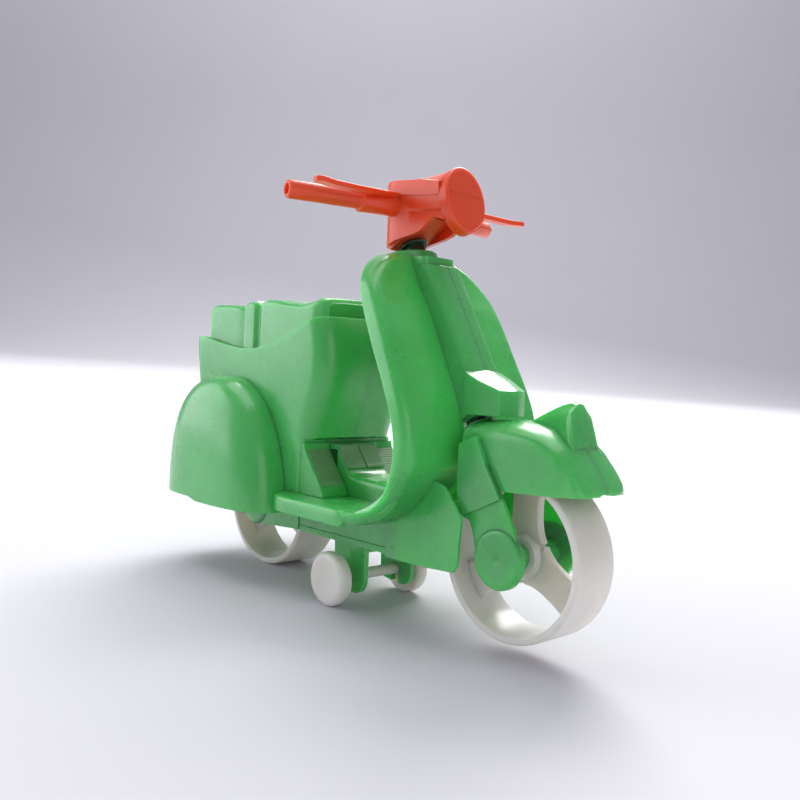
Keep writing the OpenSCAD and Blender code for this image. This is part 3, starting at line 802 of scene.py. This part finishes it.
def disc_and_stub(x):
    """Disc with a soft rim and a shallow sink in its middle, and the stub axle behind it."""
    y = -DISC_OUT
    form = Form()
    form.tube((x, wheel_r), [
        (y + 0.22, 0.02), (y + 0.12, 0.45), (y + 0.03, 0.9), (y + 0.02, 3.9), (y, 4.3),
        (y + 0.02, 4.7), (y + 0.22, 5.1), (y + 0.6, DISC_R), (y + 1.6, DISC_R), (y + 1.6, 2.3),
        (-1.95, 2.3), (-1.85, 2.2), (-1.85, STUB_R), (-1.3, STUB_R), (-1.2, STUB_R - 0.2),
    ], 64)
    return form


# ---------------------------------------------------------------- front unit

# mudguard: (x, level) of its crown and of its lower edge, and (x, half width)
GUARD_CROWN = [
    (-10.2, 38.2), (-6, 38.7), (-2, 38.95), (2, 38.8), (6, 38.1), (9, 37), (11.2, 35.5), (13.2, 33.4),
    (14.6, 31.6), (15.6, 29.9), (16.1, 28.8), (16.3, 28),
]
GUARD_EDGE = [(-10.2, 32.4), (-8.6, 29.2), (-6.4, 27.4), (-0.6, 26.7), (9, 27.1), (16.3, 27.6)]
GUARD_WIDE = [
    (-10.2, GUARD_HALF), (13.2, GUARD_HALF), (14.4, 6.75), (15.2, 6.3), (15.8, 5.3), (16.1, 4),
    (16.3, 2),
]


def guard_rows(inset):
    """Rows over the right half of the mudguard, this far in from its outer skin."""
    stations = [-10.2, -9.4, -8.4, -7, -5, -2, 1, 4, 6.5, 8.5, 10, 11.2, 12.2, 13.1, 13.9, 14.6, 15.1,
                15.5, 15.8, 16.05, 16.2, 16.3]
    rows = []
    for x in stations:
        top = along(GUARD_CROWN, x) - inset
        edge = straight(GUARD_EDGE, x)
        half = max(straight(GUARD_WIDE, x) - inset, 0.2)
        top = max(top, edge + 0.2)
        drop = min(3.3, (top - edge) * 0.8)
        dent = 0.35 * math.exp(-((x - 12.6) / 1.1) ** 2)
        row = []
        for a in spread(0, 90, 12):
            s, c = math.sin(math.radians(a)), math.cos(math.radians(a))
            row.append((x, -(half - dent * s ** 4) * s ** 0.86, top - drop * (1 - c ** 0.86)))
        for z in spread(top - drop, edge, 3)[1:]:
            row.append((x, -half + dent, z))
        if inset:
            row = [(px - 0.11 * max(px - 6, 0), py, pz) for px, py, pz in row]
        rows.append(row)
    return rows


def mudguard():
    return Form().shell(guard_rows(0), guard_rows(1.05))


def crest():
    """Lamp-shaped fin on the mudguard: a rib that widens to a rounded front."""
    rings = []
    for x, ridge, half in (
        (0.2, 38.95, 0.2), (2.4, 40.1, 0.9), (4.4, 41.1, 1.5), (6.4, 42, 2.1),
        (8, 42.5, 2.7), (9.2, 42.75, 3.1), (10, 42.5, 3.4), (10.5, 41.7, 3.6),
        (10.9, 40, 3.7), (11.3, 38, 3.75), (11.6, 36.2, 3.75),
    ):
        base = along(GUARD_CROWN, x) - 1.2
        blunt = min(1, max(0, (x - 5) / 4))
        crown = 0.3 + 0.25 * half * blunt
        ring = [(x, -half, base)]
        for t in spread(0, 1, 6):
            flare = half * (1 - t) ** 0.75 + 0.55 * t
            arch = crown + (half - crown) * (1 - t ** 3) ** 0.5
            flare += (arch - flare) * blunt
            ring.append((x, -flare, base + (ridge - base - 0.5) * t))
        ring.append((x, -crown, ridge - 0.25 * blunt))
        ring.append((x, 0, ridge + 0.05))
        ring += [(x, -p[1], p[2]) for p in reversed(ring[:-1])]
        rings.append(ring)
    return Form().loft(rings)


def fork_leg():
    """Lower plate, raised upper plate, disc and stub axle."""
    lower = through([(-9.8, 26), (-9.0, 21.6), (-6.8, 20.6), (-5.3, 16)], 3)
    lower += [(0, 10.6), (4.9, 16.4), (3, 20.8), (0.3, 25.5), (-3.5, 31.1), (-9.8, 31.1)]
    upper = [(-9.85, 34.2), (-6, 35.85), (-3.5, 31.1), (0.25, 25.5), (-4.2, 23.3), (-9, 21.35),
             (-9.8, 25.7)]
    form = Form().slab(lower, -7.75, -6.95)
    form.plus(Form().slab(upper, -DISC_OUT - 0.02, -7.02))
    return form.plus(disc_and_stub(0))


def rear_arm():
    plate = [(-wheelbase + 1, 10), (-57.6, RAIL_Z + 0.2), (-57.6, 15.2), (-61, 19.8),
             (-wheelbase + 0.5, 19.8)]
    form = Form().slab(plate, -DISC_OUT + 0.35, -DISC_OUT + 1.4)
    return form.plus(disc_and_stub(-wheelbase))


def bracket():
    """Plate with a snap-in slot for the stabiliser axle, open at the bottom."""
    x0 = middle_level("stabiliser_axle").x
    z0 = middle_level("stabiliser_axle").z
    bore = 1.22
    slot = bore * 0.82
    turn = math.degrees(math.acos(slot / bore))
    outline = [(x0 - 5, RAIL_Z - 0.02), (x0 - 4.7, 3.4), (x0 - 4.3, 2.2), (x0 - 3.5, 1.5),
               (x0 - slot, 1.2)]
    outline += arc(x0, z0, bore, 180 + turn, -turn, 22)
    outline += [(x0 + slot, 0.95), (x0 + 2.6, 0.95), (x0 + 3.9, 1.5), (x0 + 4.6, 2.5), (x0 + 4.9, 3.6),
                (x0 + 4.9, RAIL_Z - 0.02)]
    form = Form().slab(outline, -7.15, -5.9)
    foot = [(x0 - 5, RAIL_Z - 1.2), (x0 + 4.9, RAIL_Z - 1.2), (x0 + 4.9, RAIL_Z - 0.02),
            (x0 - 5, RAIL_Z - 0.02)]
    return form.plus(Form().slab(foot, -6, -3.8))


def middle_level(node):
    """Centre of a CAD node in the level frame, in millimetres."""
    low, high = level_box(node)
    return (low + high) / 2


def stabiliser_wheel(node, outward):
    """Small solid wheel with softly rounded edges and a shallow dish outside."""
    low, high = level_box(node)
    mid = (low + high) / 2
    r = (high.x - low.x) / 2
    half = (high.y - low.y) / 2
    form = Form()
    profile = [(mid.y - outward * half, 1.1), (mid.y - outward * half, r - 0.7)]
    profile += [(mid.y - outward * (half - 0.35), r - 0.2), (mid.y - outward * (half - 0.8), r)]
    profile += [(mid.y + outward * (half - 0.9), r), (mid.y + outward * (half - 0.35), r - 0.22)]
    profile += [(mid.y + outward * half, r - 0.85), (mid.y + outward * (half - 0.02), r - 1.4)]
    profile += [(mid.y + outward * (half - 0.18), 1.6), (mid.y + outward * (half - 0.2), 0.02)]
    return form.tube((mid.x, mid.z), profile, 64)


def stabiliser_axle():
    low, high = level_box("stabiliser_axle")
    mid = (low + high) / 2
    r = (high.x - low.x) / 2
    return Form().tube((mid.x, mid.z), [(low.y, r - 0.25), (low.y + 0.25, r), (high.y - 0.25, r),
                                        (high.y, r - 0.25)], 40)


def post_rings(rings, steps=48):
    turn = [2 * math.pi * i / steps for i in range(steps)]
    return Form().loft([[(r * math.cos(a), r * math.sin(a), z) for a in turn] for z, r in rings]
                       ).moved(on_axis)


# ---------------------------------------------------------------- handlebar



def split_z(x):
    """Level of the parting plane, which rises towards the back."""
    return 80.4 + 0.105 * (-21 - x)


HOUSE_REAR = (-33, 5.45)
# (x, level): outer edge of the top, ridge, and lower edge of the side walls
HOUSE_TOP = [(-38.5, 83.9), (-37.2, 84.6), (-34, 84.8), (-28, 84.3), (-20, 83.2)]
HOUSE_RIDGE = [(-38.5, 83.9), (-37, 84.65), (-33, 84.95), (-29, 85.3), (-25, 85.9), (-21.4, 86.4),
               (-19.6, 86.5)]
HOUSE_LOW = [
    (-38.5, 71.7), (-36, 72.1), (-30.6, 73.1), (-27, 73.8), (-25.6, 74.2), (-24.4, 75.4),
    (-23, 76.3), (-21.8, 76.5), (-20.2, 75.6), (-19, 74.4),
]
LAMP_AT = (-20.4, 79.5)
LAMP_TILT = math.radians(12)


def house_half(x):
    """Half width of the handlebar housing at x."""
    mid, r = HOUSE_REAR
    if x < mid:
        return math.sqrt(max(r * r - (x - mid) ** 2, 0.16))
    return r - 0.25 * min(1, (x - mid) / 6)


def lamp_plane(z):
    """x of the back of the headlight at level z."""
    return LAMP_AT[0] - (z - LAMP_AT[1]) * math.tan(LAMP_TILT)


def house_stations():
    return [-38.42, -38.3, -38, -37.5, -36.8, -35.8, -34.5, -33, -31, -29, -27.2, -26, -25, -24,
            -23, -22, -21, -20.4]


def upper_rows(inset):
    rows = []
    for x in house_stations():
        half = max(house_half(x) - inset, 0.1)
        edge = along(HOUSE_TOP, x) - inset
        ridge = along(HOUSE_RIDGE, x) - inset
        split = split_z(x)
        row = [(x, -half, split + 0.03), (x, -half, split + 0.9), (x, -half * 0.995, edge - 0.5),
               (x, -half * 0.97, edge - 0.12), (x, -half * 0.9, edge)]
        for y in (0.72, 0.5, 0.3, 0.14):
            lift = (1 - y / 0.72) ** 0.7 if ridge > edge + 0.2 else 1 - y
            row.append((x, -half * y, edge + (ridge - edge) * lift))
        row.append((x, 0, ridge))
        row += [(x, -p[1], p[2]) for p in reversed(row[:-1])]
        if x == house_stations()[-1]:
            row = [(lamp_plane(z), y, z) for _, y, z in row]
        if inset and x < -37:
            row = [(px + inset * 0.8, py, pz) for px, py, pz in row]
        rows.append(row)
    return rows


def lower_rows(inset):
    rows = []
    for x in house_stations():
        half = max(house_half(x) - inset, 0.1)
        low = along(HOUSE_LOW, x)
        waist = 0.25 * min(1, max(0, (x + 30) / 8))
        split = split_z(x) - 0.03
        ledge = 2.8 / (split - low)
        row = [(x, -half, split), (x, -half, split - 2.6)]
        row += [(x, -half + waist + 0.25, split + (low - split) * t) for t in (ledge + 0.03, 0.7, 1)]
        if x == house_stations()[-1]:
            row = [(lamp_plane(z), y, z) for _, y, z in row]
        if inset and x < -37:
            row = [(px + inset * 0.8, py, pz) for px, py, pz in row]
        rows.append(row)
    return rows


def house_lower():
    """Lower shell: two side walls that meet at the back."""
    form = Form()
    right = [lower_rows(0), lower_rows(1.1)]
    turned = []
    for rows in right:
        left = [[(x, -y, z) for x, y, z in row] for row in rows]
        turned.append(list(reversed(rows)) + left)
    form.shell(turned[0], turned[1])
    return form


def post_socket():
    """Floor and collar inside the lower shell that hold the steering post."""
    form = post_rings([(66.3, 3.1), (69.8, 3.1), (69.8, 2.06), (66.3, 2.06)])
    plate = [(-3.0, -3.9), (8.4, -3.9), (8.4, 3.9), (-3.0, 3.9)]
    floor = Form().loft([[(x, y, z) for x, y in plate] for z in (66.4, 67.4)]).moved(on_axis)
    return form.plus(floor)


ARM_Y = 27.7
ARM_X = (-32.5, -38.3)
ARM_Z = 79.8
# grip and arm, from the housing outwards: (share of the length, radius)
ARM_OUT = [(0.1, 2.25), (0.3, 2.3), (0.452, 2.3), (0.462, 2.2), (0.468, 1.85), (0.5, 1.8),
           (0.8, 1.78), (0.985, 1.76), (0.997, 1.6), (1.0, 1.35)]
ARM_BORE = [(0.999, 1.05), (0.985, 0.95), (0.5, 0.95)]


def arm_centre(t):
    return Vector((ARM_X[0] + (ARM_X[1] - ARM_X[0]) * t, -ARM_Y * t, ARM_Z))


def arm():
    """Arm and hollow grip on the right, with flash lines along the mould's parting."""
    direction = (arm_centre(1) - arm_centre(0)).normalized()
    side = Vector((-direction.y, direction.x, 0))
    up = Vector((0, 0, 1))
    steps = 40
    rings = []
    for t, r in ARM_OUT + ARM_BORE:
        ring = []
        for i in range(steps):
            a = 2 * math.pi * i / steps
            flash = 1 + 0.075 * math.exp(-(math.sin(a) / 0.16) ** 2) if r > 1.2 else 1
            ring.append(arm_centre(t) + side * (r * flash * math.cos(a)) + up * (r * math.sin(a)))
        rings.append(ring)
    return Form().loft(rings)


def lever():
    """Thin brake lever with a waist, narrowed at its tip."""
    middle_line = through([(-33.4, -5.4), (-32.9, -8), (-31.6, -12), (-30.1, -18), (-29.1, -24),
                           (-28.4, -27.4)], 5)
    heights = [(-28.5, 80.2), (-24, 80.2), (-18, 80.5), (-12, 81.05), (-8, 81.4), (-5, 81.5)]
    rings = []
    for x, y in middle_line + [(-28.3, -28.2), (-28.3, -28.5)]:
        z = straight(heights, y)
        wide = 1.25
        if y < -26:
            wide = 1.45
        if y < -28:
            wide = 1.45 - 2.0 * (-28 - y)
        if y > -11:
            wide = 1.25 + 0.1 * (y + 11)
        thick = 0.5
        rings.append([(x - wide, y, z - thick), (x + wide, y, z - thick), (x + wide, y, z + thick),
                      (x - wide, y, z + thick)])
    return Form().loft(rings)


def on_lamp(out, y, h):
    """Level place of a point this far out from the lamp's back, across it and up it."""
    return (
        LAMP_AT[0] + out * math.cos(LAMP_TILT) - h * math.sin(LAMP_TILT),
        y,
        LAMP_AT[1] + out * math.sin(LAMP_TILT) + h * math.cos(LAMP_TILT),
    )


def headlight():
    """Oval lamp face: soft rim, slightly domed."""
    steps = 96
    rings = []
    for out, scale in ((-0.4, 0.93), (-0.25, 1.0), (1.55, 1.0), (1.95, 0.985), (2.15, 0.95), (2.18, 0.915),
                       (2.0, 0.885), (2.02, 0.84), (2.12, 0.6), (2.18, 0.3), (2.2, 0.02)):
        ring = []
        for i in range(steps):
            a = 2 * math.pi * i / steps
            y, h = 5.25 * scale * math.cos(a), 6.6 * scale * math.sin(a)
            ring.append(on_lamp(out, y, h))
        rings.append(ring)
    return Form().loft(rings)


def lamp_seam():
    """Fine ridge across the lamp face where its mould parted."""
    rings = []
    for y in spread(-4.5, 4.5, 16):
        high = 2.2 - 0.006 * y * y
        rings.append([on_lamp(high - 0.4, y, 0.84), on_lamp(high + 0.09, y, 0.95),
                      on_lamp(high + 0.09, y, 1.05), on_lamp(high - 0.4, y, 1.16)])
    return Form().loft(rings)


def parting_line():
    """Fine flash where the two halves of the housing meet, right side."""
    mid, r = HOUSE_REAR
    outline = []
    for a in spread(180, 270, 10):
        outline.append((mid + r * math.cos(math.radians(a)), r * math.sin(math.radians(a))))
    outline.append((-29, -r + 0.17))
    outline.append((-27, -r + 0.25))
    outline.append((-21.2, -r + 0.25))
    rings = []
    for x, y in outline:
        z = split_z(x)
        out = 0.16
        nx, ny = (x - mid, y) if x < mid else (0, -1)
        size = math.hypot(nx, ny)
        nx, ny = nx / size, ny / size
        rings.append([(x - nx * 0.3, y - ny * 0.3, z - 0.16), (x + nx * out, y + ny * out, z - 0.06),
                      (x + nx * out, y + ny * out, z + 0.06), (x - nx * 0.3, y - ny * 0.3, z + 0.16)])
    return Form().loft(rings)


# ---------------------------------------------------------------- making the pieces

both_sides("leg_shield", leg_shield, "scooter", "body", GREEN, bevel=0.18)
both_sides("floorboard", floor_skin, "scooter", "body", GREEN, bevel=0.18)
both_sides("column", column, "scooter", "body", GREEN, bevel=0.16)
both_sides("rear_shell", rear_shell, "scooter", "body", GREEN, bevel=0.5, segments=4)
both_sides("chassis_rail", rail, "scooter", "body", GREEN, bevel=0.2)
both_sides("skirt", cheek, "scooter", "body", GREEN, bevel=0.25)
piece("seat_deck", deck(), "scooter", ["body_right", "body_left"], GREEN, bevel=0.15)
piece("saddle", seat(), "scooter", ["seat"], GREEN, bevel=0.3)
both_sides("side_cowl", cowl, "scooter", "cowl", GREEN, bevel=0.2)
both_sides("foot_ramp", foot_ramp, "scooter", "foot_ramp", GREEN, bevel=0.15)
both_sides("ramp_pad", ramp_pad, "scooter", "foot_ramp", PAINTED_SHEEN_PAD, bevel=0.04, segments=2)
piece("tunnel", tunnel(), "scooter", ["floor_tunnel"], GREEN, bevel=0.2)
piece("tunnel_block", tunnel_block(), "scooter", ["floor_tunnel"], GREEN, bevel=0.15)
both_sides("tunnel_pad", tunnel_pad, "scooter", "floor_tunnel", PAINTED_SHEEN_PAD, shared=True, bevel=0.04, segments=2)
piece("horn_cover_shell", horn_cover(), "scooter", ["horn_cover"], GREEN, bevel=0.3)
piece("column_flange", column_cap(), "scooter", ["column_cap"], GREEN, bevel=0.15)
both_sides("axle_bracket", bracket, "scooter", "bracket", GREEN, bevel=0.15)
both_sides("rear_swing_arm", rear_arm, "scooter", "rear_arm", GREEN, bevel=0.15)

both_sides("guard", mudguard, "front_unit", "mudguard", GREEN, bevel=0.2)
piece("guard_crest", crest(), "front_unit", ["mudguard_crest"], GREEN, bevel=0.2)
both_sides("fork", fork_leg, "front_unit", "fork_leg", GREEN, bevel=0.15)
piece("post", post_rings([(20.2, 1.8), (20.45, POST_R), (69.9, POST_R), (70.2, 1.8)]), "front_unit",
      ["steering_post"], POST_SHADE, bevel=0)
piece("clip", post_rings([(65.3, 2.06), (65.3, 2.75), (65.45, 2.9), (65.8, 2.9), (65.95, 2.75),
                          (65.95, 2.06)]), "front_unit", ["post_clip"], POST_SHADE, bevel=0)
piece("handlebar_top", Form().shell(upper_rows(0), upper_rows(1.1)), "front_unit",
      ["handlebar_upper"], RED, bevel=0.12)
piece("handlebar_skirt", house_lower(), "front_unit", ["handlebar_lower"], RED, bevel=0.2)
piece("post_holder", post_socket(), "front_unit", ["handlebar_lower"], RED, bevel=0.1)
both_sides("grip", arm, "front_unit", "handlebar_upper", RED, shared=True, bevel=0, angle=50)
both_sides("brake_lever", lever, "front_unit", "lever", RED, bevel=0.2)
both_sides("parting_line", parting_line, "front_unit", "handlebar_upper", RED, shared=True, bevel=0.03)
piece("lamp_face", headlight(), "front_unit", ["headlight"], RED, bevel=0, angle=40)
piece("lamp_ridge", lamp_seam(), "front_unit", ["headlight"], RED, bevel=0)

for name, node, body, x in (
    ("front_tyre", "front_wheel", "front_wheel_body", 0),
    ("rear_tyre", "rear_wheel", "rear_wheel_body", -wheelbase),
):
    piece(name, main_wheel(x), body, [node], WHITE, bevel=0, angle=30)
    piece(name + "_spokes", spokes(x), body, [node], WHITE, bevel=0.45, angle=40)
piece("axle_bar", stabiliser_axle(), "stabiliser_body", ["stabiliser_axle"], WHITE, bevel=0)
for side, outward in (("right", -1), ("left", 1)):
    node = "stabiliser_wheel_" + side
    piece("small_wheel_" + side, stabiliser_wheel(node, outward), "stabiliser_body", [node], WHITE,
          bevel=0, angle=50)

# CAD nodes that stay as they are take the plastic's material
for node in ("chassis_plate", "lower_bush", "assembly_pins", "fork_crown"):
    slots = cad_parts[node].data.materials
    slots.clear()
    slots.append(GREEN[0])

# ---------------------------------------------------------------- floor, light, camera


def stage_material(name, colour, rough):
    material = bpy.data.materials.new(name)
    material.use_nodes = True
    nodes = material.node_tree.nodes
    link = material.node_tree.links.new
    shader = nodes["Principled BSDF"]
    noise = nodes.new("ShaderNodeTexNoise")
    noise.inputs["Scale"].default_value = 9
    noise.inputs["Detail"].default_value = 3
    link(nodes.new("ShaderNodeTexCoord").outputs["Object"], noise.inputs["Vector"])
    ramp = nodes.new("ShaderNodeValToRGB")
    ramp.color_ramp.elements[0].color = (*[c * 0.97 for c in colour], 1)
    ramp.color_ramp.elements[1].color = (*colour, 1)
    link(noise.outputs["Fac"], ramp.inputs["Fac"])
    link(ramp.outputs["Color"], shader.inputs["Base Color"])
    shader.inputs["Roughness"].default_value = rough
    return material


def backdrop():
    """Pale floor that curves up into a wall far behind the scooter."""
    profile = [(-1.6, 0), (1.2, 0)]
    profile += [(1.2 + 0.6 * math.sin(math.radians(a)), 0.6 - 0.6 * math.cos(math.radians(a)))
                for a in spread(0, 90, 14)[1:]]
    profile.append((1.8, 3))
    turn = Matrix.Rotation(CAMERA_YAW, 4, "Z")
    mesh = bpy.data.meshes.new("backdrop")
    points = [turn @ Vector((x, d, z)) for d, z in profile for x in (-4.5, 4.5)]
    faces = [(2 * i, 2 * i + 1, 2 * i + 3, 2 * i + 2) for i in range(len(profile) - 1)]
    mesh.from_pydata(points, [], faces)
    for face in mesh.polygons:
        face.use_smooth = True
    mesh.materials.append(stage_material("pale_cloth", (0.67, 0.66, 0.7), 0.9))
    obj = bpy.data.objects.new("backdrop", mesh)
    bpy.context.scene.collection.objects.link(obj)


def area_light(name, place, aim, size, power, colour):
    """Soft rectangular light at a place in metres, turned to its aim."""
    data = bpy.data.lights.new(name, "AREA")
    data.shape = "RECTANGLE"
    data.size, data.size_y = size
    data.energy = power
    data.color = colour
    obj = bpy.data.objects.new(name, data)
    obj.location = place
    obj.rotation_euler = (Vector(aim) - Vector(place)).to_track_quat("-Z", "Y").to_euler()
    bpy.context.scene.collection.objects.link(obj)


# the camera: its heading, dip and tilt, its place in the level frame, and its lens
CAMERA_YAW = math.radians(47.3)
CAMERA_DIP = math.radians(1.81)
CAMERA_ROLL = math.radians(2.43)
CAMERA_PLACE = Vector((96.43, -121.04, 46.45))
CAMERA_LENS = 38.95
SENSOR = 36


def camera():
    forward = Vector((-math.sin(CAMERA_YAW) * math.cos(CAMERA_DIP),
                      math.cos(CAMERA_YAW) * math.cos(CAMERA_DIP), -math.sin(CAMERA_DIP)))
    right = forward.cross(Vector((0, 0, 1))).normalized()
    up = right.cross(forward)
    c, s = math.cos(CAMERA_ROLL), math.sin(CAMERA_ROLL)
    right, up = right * c + up * s, up * c - right * s
    turn = LEVEL.to_3x3().normalized()
    axes = Matrix([turn @ right, turn @ up, turn @ -forward]).transposed()
    data = bpy.data.cameras.new("camera")
    data.sensor_width = SENSOR
    data.lens = CAMERA_LENS
    data.clip_start = 0.01
    obj = bpy.data.objects.new("camera", data)
    obj.matrix_world = Matrix.Translation(LEVEL @ CAMERA_PLACE) @ axes.to_4x4()
    bpy.context.scene.collection.objects.link(obj)
    bpy.context.scene.camera = obj


camera()
backdrop()
area_light("window", (-0.45, 0.75, 0.85), (0, 0, 0.04), (0.7, 0.6), 12.5, (1.0, 0.99, 0.97))
area_light("ceiling", (-0.25, 0.05, 1.0), (0, 0, 0.04), (0.9, 0.9), 5, (0.97, 0.98, 1.0))
area_light("room_left", (-0.85, -0.55, 0.35), (0, 0, 0.04), (0.9, 0.7), 4.4, (0.93, 0.95, 1.0))
area_light("room_front", (0.75, -0.45, 0.25), (0, 0, 0.05), (0.5, 0.7), 1.1, (0.96, 0.97, 1.0))
area_light("wall_wash", (-0.8, 0.6, 1.7), (-1.3, 1.2, 0.6), (0.8, 0.4), 8, (1.0, 0.99, 1.0))
world = bpy.data.worlds.new("room")
world.use_nodes = True
world.node_tree.nodes["Background"].inputs["Color"].default_value = (0.62, 0.62, 0.68, 1)
world.node_tree.nodes["Background"].inputs["Strength"].default_value = 0.6
bpy.context.scene.world = world
bpy.context.scene.view_settings.view_transform = "Standard"
